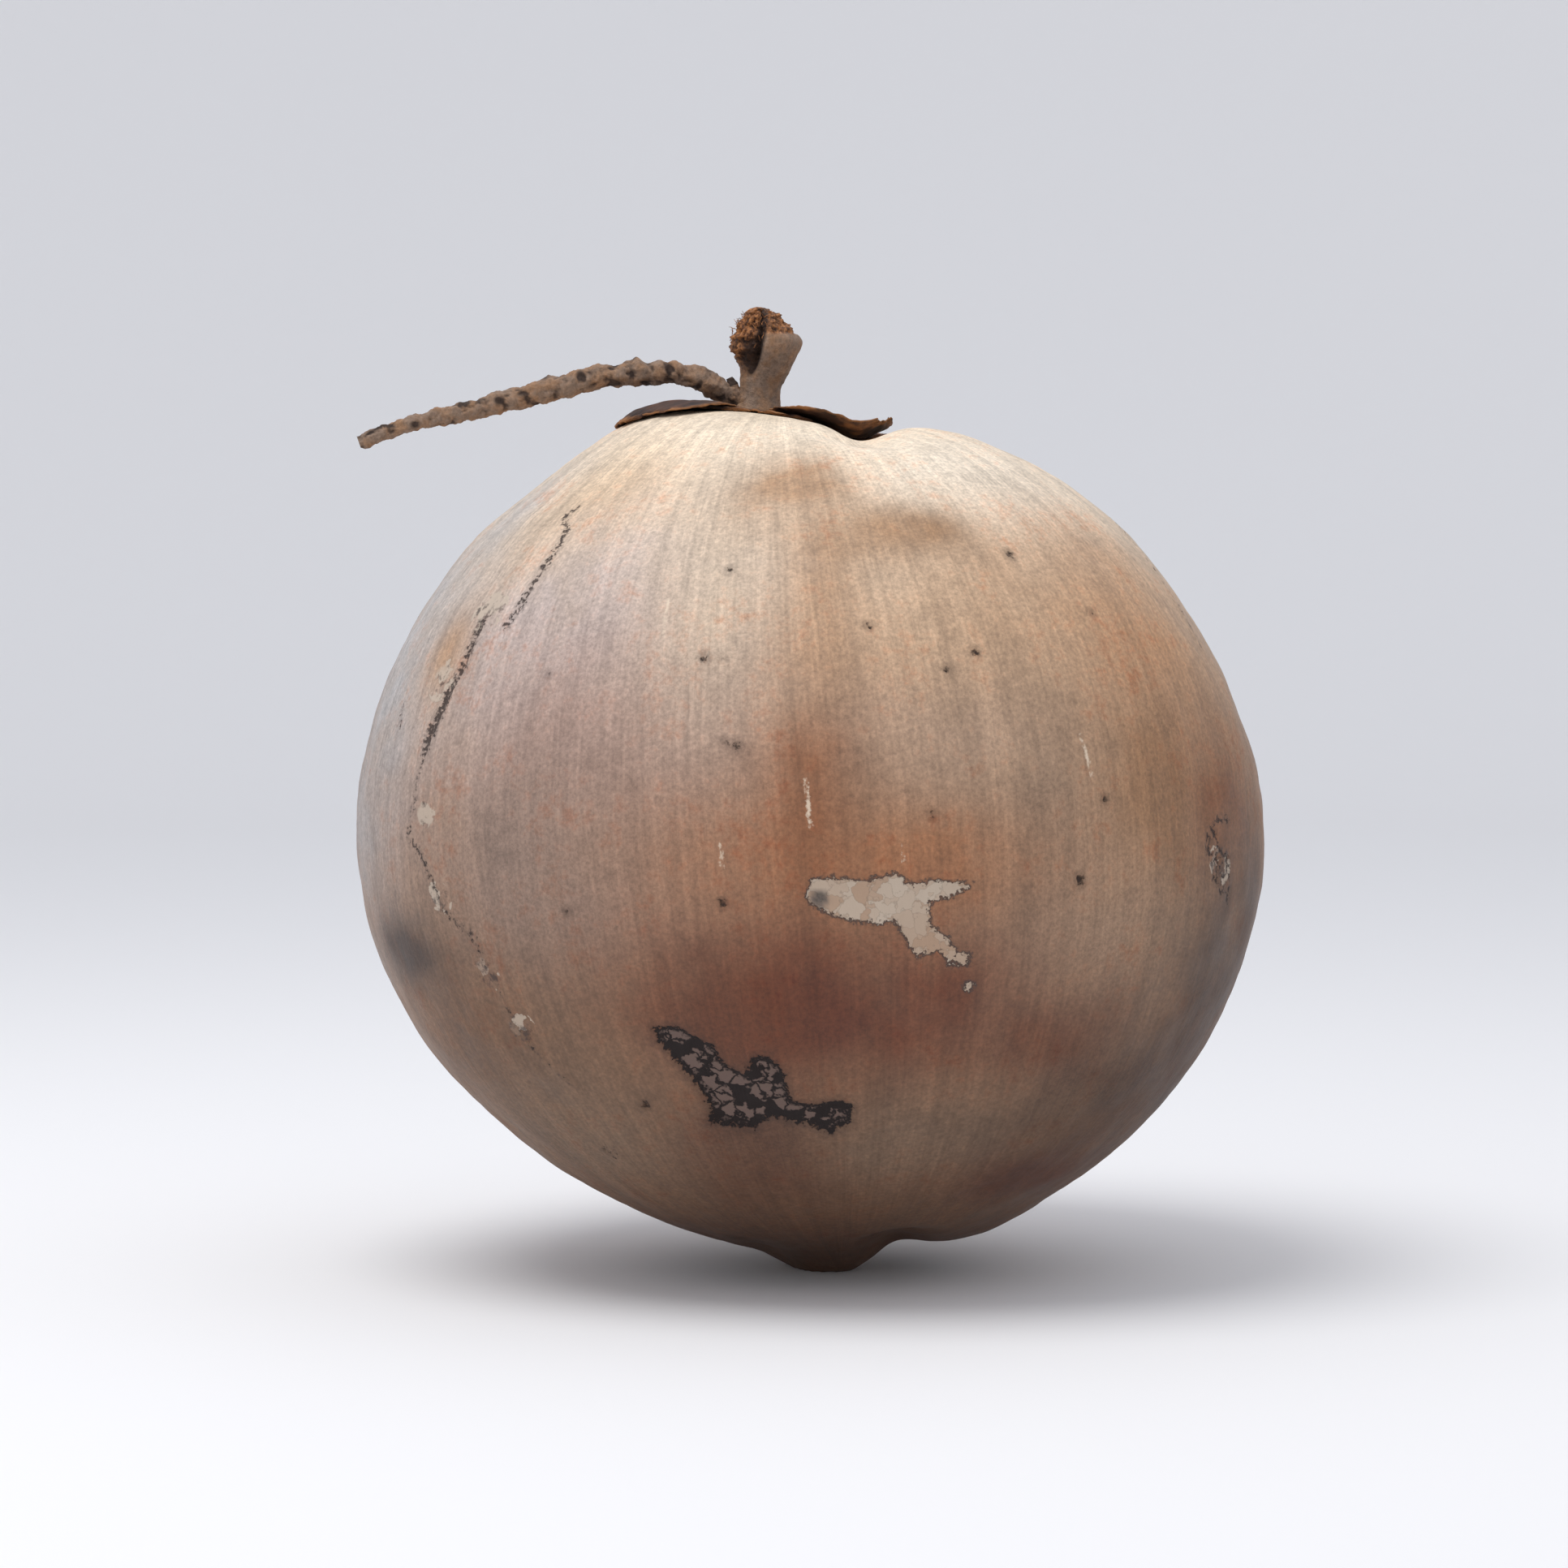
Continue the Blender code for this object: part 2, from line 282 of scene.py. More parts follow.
def outlineDistance(outline, points):
    # mm to a closed outline on the skin, negative inside
    units = np.array([towards(turn, drop) for turn, drop in outline])
    corners = skinPoints(units)
    middle = corners.mean(0)
    outward = middle - np.array(husk["centre"]) * mm
    outward /= np.linalg.norm(outward)
    across = np.cross((0, 0, 1), outward)
    across /= np.linalg.norm(across)
    up = np.cross(outward, across)
    flat = np.stack([(corners - middle) @ across, (corners - middle) @ up], -1)
    spots = np.stack([(points - middle) @ across, (points - middle) @ up], -1)
    nearest = np.full(len(points), 1.0)
    inside = np.zeros(len(points), bool)
    for here, there in zip(flat, np.roll(flat, -1, 0)):
        edge = there - here
        share = np.clip(((spots - here) @ edge) / (edge @ edge), 0, 1)
        gap = np.linalg.norm(spots - here - share[:, None] * edge, axis=1)
        nearest = np.minimum(nearest, gap)
        spans = (here[1] > spots[:, 1]) != (there[1] > spots[:, 1])
        rise = edge[1] if abs(edge[1]) > 1e-12 else 1e-12
        crossing = here[0] + (spots[:, 1] - here[1]) / rise * edge[0]
        inside ^= spans & (spots[:, 0] < crossing)
    nearest[inside] *= -1
    nearest[(points - middle) @ outward < -0.03] = 0.05    # not on the far side of the fruit
    return nearest / mm


def lineDistance(places, points):
    # mm to a chain of straight pieces through places on the skin
    corners = skinPoints(np.array([towards(turn, drop) for turn, drop in places]))
    nearest = np.full(len(points), 1.0)
    for here, there in zip(corners, corners[1:]):
        edge = there - here
        share = np.clip(((points - here) @ edge) / (edge @ edge), 0, 1)
        nearest = np.minimum(nearest, np.linalg.norm(points - here - share[:, None] * edge, axis=1))
    return nearest / mm


def spotDistance(places, points):
    nearest = np.full(len(points), 50.0)
    for turn, drop, radius in places:
        spot = skinPoints(towards(turn, drop))
        nearest = np.minimum(nearest, np.linalg.norm(points - spot, axis=1) / mm - radius)
    return nearest


def addAttribute(mesh, name, values):
    values = np.asarray(values, np.float32)
    kind = {1: "FLOAT", 3: "FLOAT_VECTOR"}[values.ndim if values.ndim == 1 else values.shape[1]]
    attribute = mesh.attributes.new(name, kind, "POINT")
    attribute.data.foreach_set("value" if kind == "FLOAT" else "vector", values.ravel())


def makeFruit():
    bm = bmesh.new()
    bmesh.ops.create_uvsphere(bm, u_segments=husk["meridians"], v_segments=husk["parallels"], radius=1)
    mesh = bpy.data.meshes.new("fruitHusk")
    bm.to_mesh(mesh)
    bm.free()
    flat = np.empty(len(mesh.vertices) * 3)
    mesh.vertices.foreach_get("co", flat)
    units = flat.reshape(-1, 3)
    units /= np.linalg.norm(units, axis=1, keepdims=True)
    turn = np.arctan2(units[:, 0], -units[:, 1])
    turn -= husk["frontCrowding"] * np.sin(turn)          # finer mesh on the front
    rim = np.hypot(units[:, 0], units[:, 1])
    units = np.stack([rim * np.sin(turn), -rim * np.cos(turn), units[:, 2]], -1)
    turn = np.degrees(turn)
    drop = np.degrees(np.arccos(np.clip(units[:, 2], -1, 1)))
    points = skinPoints(units)

    paleScar = outlineDistance(marks["paleScar"], points)
    paleScar = np.minimum(paleScar, spotDistance(marks["islands"], points))
    darkScar = outlineDistance(marks["darkScar"], points)
    crack = np.full(len(points), 50.0)
    for halfWidth, places in marks["cracks"].values():
        crack = np.minimum(crack, lineDistance(places, points) - halfWidth)
    scratch = np.full(len(points), 50.0)
    for halfWidth, places in marks["scratches"]:
        scratch = np.minimum(scratch, lineDistance(places, points) - halfWidth)
    pit = spotDistance(marks["pits"], points) + marks["pitShrink"]
    flaky = np.clip(1 - spotDistance(marks["flakyZones"], points) / 2.5, 0, 1)
    ashEnd = np.clip(0.5 - spotDistance([marks["ashEnd"]], points), 0, 1)

    # relief: slow dents of the drying husk, sunken scars with a raised rim, split cracks
    slow, small = husk["slowDents"], husk["smallDents"]
    relief = slow[0] * smoothNoise(points, slow[1], 2) + small[0] * smoothNoise(points, small[1], 3, 9)
    distances = {"paleScar": paleScar, "darkScar": darkScar, "crack": crack, "pit": pit}
    for name, (depth, edge) in husk["sunken"].items():
        distance = distances[name]
        relief -= depth * np.clip(0.5 - distance / (2 * edge), 0, 1)
        relief += husk["rimHeight"] * np.exp(-((distance - edge) / husk["rimWidth"]) ** 2)
    points += units * (relief * mm)[:, None]
    points[:, 2] = np.maximum(points[:, 2], 0.0)
    mesh.vertices.foreach_set("co", points.ravel())

    axis = skinPoints(direction(*husk["stalkEnd"])) - skinPoints(direction(179, 0))
    axis /= np.linalg.norm(axis)
    across = np.cross((0, 1, 0), axis)
    across /= np.linalg.norm(across)
    deep = np.cross(axis, across)
    spin = np.arctan2(units @ deep, units @ across)
    fall = np.arccos(np.clip(units @ axis, -1, 1))
    addAttribute(mesh, "grain", np.stack([np.cos(spin), np.sin(spin), fall], -1) * husk["fibreRadius"])
    wobble = 0.9 * smoothNoise(points, 22, 4, 3)
    addAttribute(mesh, "wash", washColours(turn, drop, wobble))
    for name, values in (("paleScar", paleScar), ("darkScar", darkScar), ("crack", crack),
                         ("scratch", scratch), ("pit", pit), ("flaky", flaky), ("ashEnd", ashEnd)):
        addAttribute(mesh, name, np.clip(values, -20, 20))
    mesh.shade_smooth()
    fruit = bpy.data.objects.new("fruitHusk", mesh)
    bpy.context.scene.collection.objects.link(fruit)
    return fruit


# dry coconut husk, weathered: a thin waxy skin over fibre, so soft sheen, fine streaks and mottling
huskFinish = {
    "roughness": 0.56,
    "ior": 1.46,
    "streakWidth": 1.1,       # mm across a fibre bundle
    "streakStretch": 0.045,
    "speckle": 0.8,           # mm, drawn coarser than the real 0.3 mm pores so that it shows
    "freckle": 2.6,
    "blotch": 15,
    "crackColour": "#3f332e",
    "pitColour": "#2c1a10",
    "scratchColour": "#e2cdb4",
    "paleFlake": "#c3b29f",
    "tanFlake": "#b1947c",
    "ashEnd": "#6a5f57",
    "scabColour": "#1e1412",
    "scabFlake": "#6b5850",
    "raggedness": {           # mm by which noise shakes each mark's edge
        "paleScar": 2.2,
        "darkScar": 2.6,
        "crack": 4.2,
        "pit": 1.6,
        "scratch": 1.0,
    },
}


def huskMaterial():
    material, tree = newMaterial("weatheredCoconutHusk")
    field = {}
    for name in ("grain", "wash", "paleScar", "darkScar", "crack", "scratch", "pit", "flaky", "ashEnd"):
        side = 1 if name in ("grain", "wash") else 2
        field[name] = addNode(tree, "ShaderNodeAttribute", {"attribute_name": name}, output=side)
    place = addNode(tree, "ShaderNodeTexCoord", {}, output=3)
    inMm = addNode(tree, "ShaderNodeVectorMath", {"operation": "SCALE", "Scale": 1000.0}, [(0, place)])
    along = addNode(tree, "ShaderNodeVectorMath",
                    {"operation": "MULTIPLY", 1: (1, 1, huskFinish["streakStretch"])}, [(0, field["grain"])])
    streak = addNode(tree, "ShaderNodeTexNoise",
                     {"Scale": 1 / huskFinish["streakWidth"], "Detail": 3.0, "Roughness": 0.6},
                     [("Vector", along)])
    broadStreak = addNode(tree, "ShaderNodeTexNoise",
                          {"Scale": 0.22 / huskFinish["streakWidth"], "Detail": 2.0, "Roughness": 0.5},
                          [("Vector", along)])
    speckle = addNode(tree, "ShaderNodeTexNoise",
                      {"Scale": 1 / huskFinish["speckle"], "Detail": 2.0, "Roughness": 0.7},
                      [("Vector", inMm)])
    freckle = addNode(tree, "ShaderNodeTexNoise",
                      {"Scale": 1 / huskFinish["freckle"], "Detail": 4.0, "Roughness": 0.65},
                      [("Vector", inMm)])
    blotch = addNode(tree, "ShaderNodeTexNoise",
                     {"Scale": 1 / huskFinish["blotch"], "Detail": 6.0, "Roughness": 0.6, "Distortion": 0.3},
                     [("Vector", inMm)])

    # streaks, pores and blotches darken and lighten the stained skin
    skin = field["wash"]
    for source, dark, pale in ((streak, 0.87, 1.12), (broadStreak, 0.9, 1.1), (speckle, 0.8, 1.2),
                               (freckle, 0.84, 1.14), (blotch, 0.84, 1.14)):
        shade = addNode(tree, "ShaderNodeMapRange",
                        {"From Min": 0.3, "From Max": 0.7, "To Min": dark, "To Max": pale},
                        [("Value", source)])
        skin = addNode(tree, "ShaderNodeVectorMath", {"operation": "SCALE"}, [(0, skin), ("Scale", shade)])

    # rust freckles where two patterns peak together
    rustPeak = addNode(tree, "ShaderNodeMath", {"operation": "MULTIPLY"}, [(0, freckle), (1, blotch)])
    rustCover = addNode(tree, "ShaderNodeMapRange",
                        {"From Min": 0.28, "From Max": 0.42, "To Min": 0.0, "To Max": 0.5},
                        [("Value", rustPeak)])
    skin = addNode(tree, "ShaderNodeMix", {"data_type": "RGBA", "blend_type": "MULTIPLY", 7: "#c98f66"},
                   [(0, rustCover), (6, skin)], output=2)

    # ragged outlines: every mark's distance is shaken by noise before it is cut
    shake = addNode(tree, "ShaderNodeTexNoise", {"Scale": 1.0, "Detail": 4.0, "Roughness": 0.65},
                    [("Vector", inMm)])
    ragged = {}
    for name, amount in huskFinish["raggedness"].items():
        offset = addNode(tree, "ShaderNodeMapRange",
                         {"From Min": 0.2, "From Max": 0.8, "To Min": -amount / 2, "To Max": amount / 2},
                         [("Value", shake)])
        ragged[name] = addNode(tree, "ShaderNodeMath", {"operation": "ADD"}, [(0, field[name]), (1, offset)])

    twist = addNode(tree, "ShaderNodeTexNoise", {"Scale": 0.45, "Detail": 3.0}, [("Vector", inMm)], 1)
    twist = addNode(tree, "ShaderNodeVectorMath", {"operation": "MULTIPLY_ADD", 1: (5, 5, 5)},
                    [(0, twist), (2, inMm)])
    flakes = addNode(tree, "ShaderNodeTexVoronoi", {"Scale": 0.3, "Randomness": 1.0}, [("Vector", twist)], 1)
    flakeTone = addNode(tree, "ShaderNodeSeparateColor", {}, [("Color", flakes)])
    flakeEdge = addNode(tree, "ShaderNodeTexVoronoi",
                        {"feature": "DISTANCE_TO_EDGE", "Scale": 0.3, "Randomness": 1.0},
                        [("Vector", twist)])

    # loose pale flakes beside the cracks, with dark grime among them
    looseTone = addNode(tree, "ShaderNodeMath", {"operation": "MULTIPLY"},
                        [(0, flakeTone), (1, field["flaky"])])
    loose = addNode(tree, "ShaderNodeMapRange",
                    {"From Min": 0.52, "From Max": 0.62, "To Min": 0.0, "To Max": 0.75},
                    [("Value", looseTone)])
    skin = addNode(tree, "ShaderNodeMix", {"data_type": "RGBA", 7: huskFinish["paleFlake"]},
                   [(0, loose), (6, skin)], output=2)
    grime = addNode(tree, "ShaderNodeMath", {"operation": "MULTIPLY"}, [(0, freckle), (1, field["flaky"])])
    grimeCover = addNode(tree, "ShaderNodeMapRange",
                         {"From Min": 0.5, "From Max": 0.62, "To Min": 0.0, "To Max": 0.8},
                         [("Value", grime)])
    skin = addNode(tree, "ShaderNodeMix", {"data_type": "RGBA", 7: huskFinish["crackColour"]},
                   [(0, grimeCover), (6, skin)], output=2)

    # pale scar: bare flaked husk, ash grey at its left end, inside a thin dark outline
    bare = addNode(tree, "ShaderNodeMix",
                   {"data_type": "RGBA", 6: huskFinish["paleFlake"], 7: huskFinish["tanFlake"]},
                   [(0, flakeTone)], output=2)
    bare = addNode(tree, "ShaderNodeMix", {"data_type": "RGBA", 7: huskFinish["ashEnd"]},
                   [(0, field["ashEnd"]), (6, bare)], output=2)
    inner = addNode(tree, "ShaderNodeMapRange",
                    {"From Min": 0.01, "From Max": 0.05, "To Min": 0.8, "To Max": 1.0},
                    [("Value", flakeEdge)])
    bare = addNode(tree, "ShaderNodeVectorMath", {"operation": "SCALE"}, [(0, bare), ("Scale", inner)])

    # dark scar: a sooty scab with grey flakes left in its middle
    scabFlake = 1.0
    scabLimits = ((flakeTone, 0.42, 0.5), (flakeEdge, 0.05, 0.13), (ragged["darkScar"], -0.6, -1.3))
    for source, low, high in scabLimits:
        part = addNode(tree, "ShaderNodeMapRange", {"From Min": low, "From Max": high}, [("Value", source)])
        scabFlake = part if scabFlake == 1.0 else addNode(
            tree, "ShaderNodeMath", {"operation": "MULTIPLY"}, [(0, scabFlake), (1, part)])
    scab = addNode(tree, "ShaderNodeMix",
                   {"data_type": "RGBA", 6: huskFinish["scabColour"], 7: huskFinish["scabFlake"]},
                   [(0, scabFlake)], output=2)

    # halo, outline and inside of each mark, from the outside in
    layers = (
        ("darkScar", 2.2, 0.2, 0.35, huskFinish["scabColour"]),
        ("darkScar", 0.2, -0.1, 1.0, scab),
        ("paleScar", 0.75, 0.25, 0.85, huskFinish["crackColour"]),
        ("paleScar", 0.1, -0.1, 1.0, bare),
        ("crack", 1.1, 0.2, 0.3, huskFinish["crackColour"]),
        ("crack", 0.15, -0.35, 0.9, huskFinish["crackColour"]),
        ("pit", 1.6, 0.2, 0.35, huskFinish["pitColour"]),
        ("pit", 0.3, -0.2, 0.95, huskFinish["pitColour"]),
        ("scratch", 0.25, -0.1, 0.85, huskFinish["scratchColour"]),
    )
    cuts = {}
    for name, outer, within, most, colour in layers:
        cover = addNode(tree, "ShaderNodeMapRange",
                        {"From Min": within, "From Max": outer, "To Min": most, "To Max": 0.0},
                        [("Value", ragged[name])])
        cuts[name] = cover
        if isinstance(colour, str):
            skin = addNode(tree, "ShaderNodeMix", {"data_type": "RGBA", 7: colour},
                           [(0, cover), (6, skin)], output=2)
        else:
            skin = addNode(tree, "ShaderNodeMix", {"data_type": "RGBA"},
                           [(0, cover), (6, skin), (7, colour)], output=2)

    # waxy skin is smoother than the bare scars
    worn = addNode(tree, "ShaderNodeMath", {"operation": "MAXIMUM"},
                   [(0, cuts["paleScar"]), (1, cuts["darkScar"])])
    worn = addNode(tree, "ShaderNodeMath", {"operation": "MAXIMUM"}, [(0, worn), (1, cuts["crack"])])
    sheen = addNode(tree, "ShaderNodeMapRange",
                    {"From Min": 0.3, "From Max": 0.7, "To Min": huskFinish["roughness"] - 0.08,
                     "To Max": huskFinish["roughness"] + 0.1}, [("Value", blotch)])
    rough = addNode(tree, "ShaderNodeMath", {"operation": "MULTIPLY_ADD", 1: 0.3}, [(0, worn), (2, sheen)])

    # heights in mm
    height = None
    for source, depth in ((streak, 0.10), (speckle, 0.05), (freckle, 0.12), (cuts["paleScar"], -0.25),
                          (cuts["darkScar"], -0.3), (cuts["crack"], -0.45), (cuts["pit"], -0.5),
                          (scabFlake, 0.25), (loose, 0.15)):
        part = addNode(tree, "ShaderNodeMath", {"operation": "MULTIPLY", 1: depth}, [(0, source)])
        if height is None:
            height = part
        else:
            height = addNode(tree, "ShaderNodeMath", {"operation": "ADD"}, [(0, height), (1, part)])
    bump = addNode(tree, "ShaderNodeBump", {"Strength": 0.8, "Distance": mm}, [("Height", height)])
    shader = addNode(tree, "ShaderNodeBsdfPrincipled", {"IOR": huskFinish["ior"]},
                     [("Base Color", skin), ("Roughness", rough), ("Normal", bump)])
    addNode(tree, "ShaderNodeOutputMaterial", {}, [("Surface", shader)])
    return material


# calyx: three petals under three sepals, dry leathery scales that lie on the stalk end
calyx = {
    "foot": 6.7,               # mm from the middle of the calyx to where a scale starts
    "thickness": 0.85,
    "petalLift": 0.5,
    "sepalLift": 1.65,
    "rows": 44,
    "columns": 40,
    "petals": {                # angle round the calyx, length, width, curl of tip and of sides, wear
        "petalLeft": (150, 31.5, 36, -0.2, 0.1, 0.0),
        "petalRight": (30, 31.5, 36, 0.9, 0.3, 0.9),
        "petalFront": (-90, 20, 34, 0.0, 0.1, 0.0),
    },
    "sepals": {
        "sepalRight": (-28, 33.5, 30, 2.6, 0.8, 0.8),
        "sepalLeft": (-150, 32.5, 32, -1.0, -0.1, 0.0),
        "sepalBack": (91, 31.5, 34, 0.8, 0.5, 0.2),
    },
}


def scaleHalfWidth(share, width):
    widest, foot = 0.55, 0.42
    if share < widest:
        return 0.5 * width * (foot + (1 - foot) * math.sin(0.5 * math.pi * share / widest))
    fall = (share - widest) / (1 - widest)
    return 0.5 * width * math.sqrt(max(1 - fall * fall, 0.03))


def makeScale(name, angle, length, width, tipCurl, sideCurl, wear, lift, seed):
    up = direction(*husk["stalkEnd"])
    right = np.cross((0, 1, 0), up)
    right /= np.linalg.norm(right)
    back = np.cross(up, right)
    out = right * math.cos(math.radians(angle)) + back * math.sin(math.radians(angle))
    side = np.cross(up, out)
    seat = float(skinRadius(up)) / mm
    rows, columns = calyx["rows"], calyx["columns"]
    units, heights, veins, edges = [], [], [], []
    for row in range(rows + 1):
        share = row / rows
        for column in range(columns + 1):
            a = 2 * column / columns - 1
            # ragged tip and torn sides
            tear = noise.fractal(Vector((a * 3.1, seed * 7.3, 0)), 0.8, 2.0, 4)
            reach = calyx["foot"] + share * (length * (1 + 0.055 * tear * share) - calyx["foot"])
            nibble = noise.fractal(Vector((share * 6.5, seed * 3.7, a)), 0.8, 2.0, 4)
            half = scaleHalfWidth(share, width) * (1 + 0.06 * nibble * abs(a) ** 4)
            units.append(up * seat + out * reach + side * a * half)
            rib = math.cos(a * half * 2.1 + 0.6 * nibble) * 0.10
            crease = 0.5 * noise.fractal(Vector((a * half / 5, share * 2.2, seed * 5.0)), 0.8, 2.0, 3)
            frill = 0.7 * noise.noise(Vector((share * 8, a * 2.2, seed * 2.0))) * max(abs(a), share) ** 6
            lifted = lift + rib + max(crease, -0.25) * 0.6 + abs(frill) * 0.9
            heights.append(lifted + tipCurl * share ** 3 + sideCurl * abs(a) ** 3)
            veins.append((a * half, reach, seed * 40.0))
            worn = wear * float(np.clip((share - 0.55 + 0.25 * tear) / 0.2, 0, 1)) * (1 - share ** 12)
            edges.append(max(max(abs(a), share) ** 5, worn))
    units = np.array(units)
    units /= np.linalg.norm(units, axis=1, keepdims=True)
    top = skinPoints(units) + units * (np.array(heights) * mm)[:, None]
    bm = bmesh.new()
    verts = [bm.verts.new(p) for p in top]
    for row in range(rows):
        for column in range(columns):
            k = row * (columns + 1) + column
            bm.faces.new((verts[k], verts[k + 1], verts[k + columns + 2], verts[k + columns + 1]))
    bm.normal_update()
    if bm.faces[:][0].normal @ Vector(up) < 0:
        bmesh.ops.reverse_faces(bm, faces=bm.faces)
    mesh = bpy.data.meshes.new(name)
    bm.to_mesh(mesh)
    bm.free()
    addAttribute(mesh, "vein", veins)
    addAttribute(mesh, "edge", edges)
    mesh.shade_smooth()
    scale = bpy.data.objects.new(name, mesh)
    bpy.context.scene.collection.objects.link(scale)
    thin = scale.vertex_groups.new(name="thin")
    for k, edge in enumerate(edges):
        thin.add([k], 1 - 0.65 * edge, "REPLACE")
    solid = scale.modifiers.new("thickness", "SOLIDIFY")
    solid.thickness = calyx["thickness"] * mm
    solid.offset = 1
    solid.vertex_group = "thin"
    solid.use_even_offset = False
    return scale


# dried tepal: leathery, almost matt, brown-black with fine veins; its worn edge shows tan fibre
calyxFinish = {"dark": "#2b1d18", "brown": "#5a3a29", "worn": "#a06c3f", "veinSpacing": 0.9,
               "roughness": 0.72, "ior": 1.45}


def calyxMaterial():
    material, tree = newMaterial("dryLeatheryTepal")
    vein = addNode(tree, "ShaderNodeAttribute", {"attribute_name": "vein"}, output=1)
    edge = addNode(tree, "ShaderNodeAttribute", {"attribute_name": "edge"}, output=2)
    long = addNode(tree, "ShaderNodeVectorMath", {"operation": "MULTIPLY", 1: (1, 0.07, 1)}, [(0, vein)])
    fine = addNode(tree, "ShaderNodeTexNoise",
                   {"Scale": 1 / calyxFinish["veinSpacing"], "Detail": 3.0, "Roughness": 0.6},
                   [("Vector", long)])
    broad = addNode(tree, "ShaderNodeTexNoise", {"Scale": 0.16, "Detail": 5.0, "Roughness": 0.65},
                    [("Vector", vein)])
    tone = addNode(tree, "ShaderNodeMapRange", {"From Min": 0.38, "From Max": 0.68}, [("Value", broad)])
    skin = addNode(tree, "ShaderNodeMix",
                   {"data_type": "RGBA", 6: calyxFinish["dark"], 7: calyxFinish["brown"]},
                   [(0, tone)], output=2)
    shade = addNode(tree, "ShaderNodeMapRange",
                    {"From Min": 0.3, "From Max": 0.7, "To Min": 0.7, "To Max": 1.35}, [("Value", fine)])
    skin = addNode(tree, "ShaderNodeVectorMath", {"operation": "SCALE"}, [(0, skin), ("Scale", shade)])
    rub = addNode(tree, "ShaderNodeMath", {"operation": "MULTIPLY"}, [(0, edge), (1, broad)])
    cover = addNode(tree, "ShaderNodeMapRange",
                    {"From Min": 0.3, "From Max": 0.52, "To Min": 0.0, "To Max": 0.8}, [("Value", rub)])
    skin = addNode(tree, "ShaderNodeMix", {"data_type": "RGBA", 7: calyxFinish["worn"]},
                   [(0, cover), (6, skin)], output=2)
    height = addNode(tree, "ShaderNodeMath", {"operation": "MULTIPLY_ADD", 1: 0.25}, [(0, fine), (2, broad)])
    bump = addNode(tree, "ShaderNodeBump", {"Strength": 0.8, "Distance": 0.6 * mm}, [("Height", height)])
    shader = addNode(tree, "ShaderNodeBsdfPrincipled",
                     {"Roughness": calyxFinish["roughness"], "IOR": calyxFinish["ior"]},
                     [("Base Color", skin), ("Normal", bump)])
    addNode(tree, "ShaderNodeOutputMaterial", {}, [("Surface", shader)])
    return material


# stalk: a broken stub with a torn head, and the withered spikelet with its flower scars
stalk = {
    "gap": 0.3,
    "stub": [                 # place from the middle of the foot (x, y, z), half-thickness, in mm
        ((0.0, 0.0, -0.2), 6.3), ((0.0, 0.0, 0.7), 6.5), ((0.2, 0.0, 2.0), 5.6), ((0.6, -0.2, 5.0), 4.7),
        ((1.0, -0.4, 8.5), 4.8), ((1.7, -0.6, 12.0), 5.9), ((1.9, -0.8, 15.4), 7.3), ((1.3, -1.0, 18.8), 6.9),
        ((0.6, -1.1, 22.0), 5.0), ((0.1, -1.2, 24.3), 2.4), ((0.0, -1.2, 24.9), 0.3),
    ],
    "spikelet": [
        ((1.2, -0.3, 2.8), 2.6), ((-2.5, -0.5, 3.6), 3.2), ((-6.0, -0.8, 5.2), 2.7), ((-9.5, -1.1, 7.2), 2.6),
        ((-12.2, -1.4, 9.0), 2.9), ((-17.0, -2.0, 9.8), 2.6), ((-24.0, -2.8, 10.2), 2.8),
        ((-32.0, -4.0, 9.6), 2.8), ((-40.0, -4.9, 7.8), 2.8), ((-48.0, -5.8, 5.6), 2.7),
        ((-56.0, -6.7, 3.6), 2.5), ((-64.0, -7.6, 1.6), 2.2), ((-72.0, -8.5, -0.4), 2.0),
        ((-80.0, -9.3, -2.6), 1.8), ((-87.4, -10.0, -5.2), 1.7),
    ],
    "scarSpacing": 7.6,       # mm between the spikelet's flower scars
    "scarHeight": 0.95,
    "scarSize": 2.3,
}


def smoothPath(points, step):
    # Catmull-Rom through the places, at about one point per step mm
    places = np.array([(*place, half) for place, half in points], float)
    places = np.vstack([2 * places[0] - places[1], places, 2 * places[-1] - places[-2]])
    out = []
    for p0, p1, p2, p3 in zip(places, places[1:], places[2:], places[3:]):
        count = max(2, int(np.linalg.norm((p2 - p1)[:3]) / step))
        for t in np.linspace(0, 1, count, endpoint=False):
            out.append(0.5 * (2 * p1 + (p2 - p0) * t + (2 * p0 - 5 * p1 + 4 * p2 - p3) * t * t
                              + (3 * p1 - p0 - 3 * p2 + p3) * t ** 3))
    out.append(places[-2])
    return np.array(out)


def sweep(bm, path, sides, swell):
    # rings round a path; swell(length, angle, place) gives extra radius in mm and how hollow the spot is,
    # which sets how much painted shade it gets
    centres, radii = path[:, :3], path[:, 3]
    lengths = np.concatenate([[0], np.cumsum(np.linalg.norm(np.diff(centres, axis=0), axis=1))])
    tangent = np.gradient(centres, axis=0)
    tangent /= np.linalg.norm(tangent, axis=1, keepdims=True)
    side = np.cross(tangent[0], (0.0, 1.0, 0.0))
    rings, marksOut = [], []
    for centre, radius, length, along in zip(centres, radii, lengths, tangent):
        side = side - along * (side @ along)
        side /= np.linalg.norm(side)
        other = np.cross(along, side)
        ring = []
        for k in range(sides):
            angle = 2 * math.pi * k / sides
            outward = side * math.cos(angle) + other * math.sin(angle)
            extra, hollowShade, torn = swell(length, outward, centre + outward * radius)
            spot = centre + outward * max(radius + extra, 0.05)
            ring.append(bm.verts.new(spot * mm))
            marksOut.append((hollowShade, torn, length, angle * max(radius, 1.0)))
        rings.append(ring)
    for lower, upper in zip(rings, rings[1:]):
        for k in range(sides):
            bm.faces.new((lower[k], lower[(k + 1) % sides], upper[(k + 1) % sides], upper[k]))
    bm.faces.new(rings[0][::-1])
    bm.faces.new(rings[-1])
    return marksOut


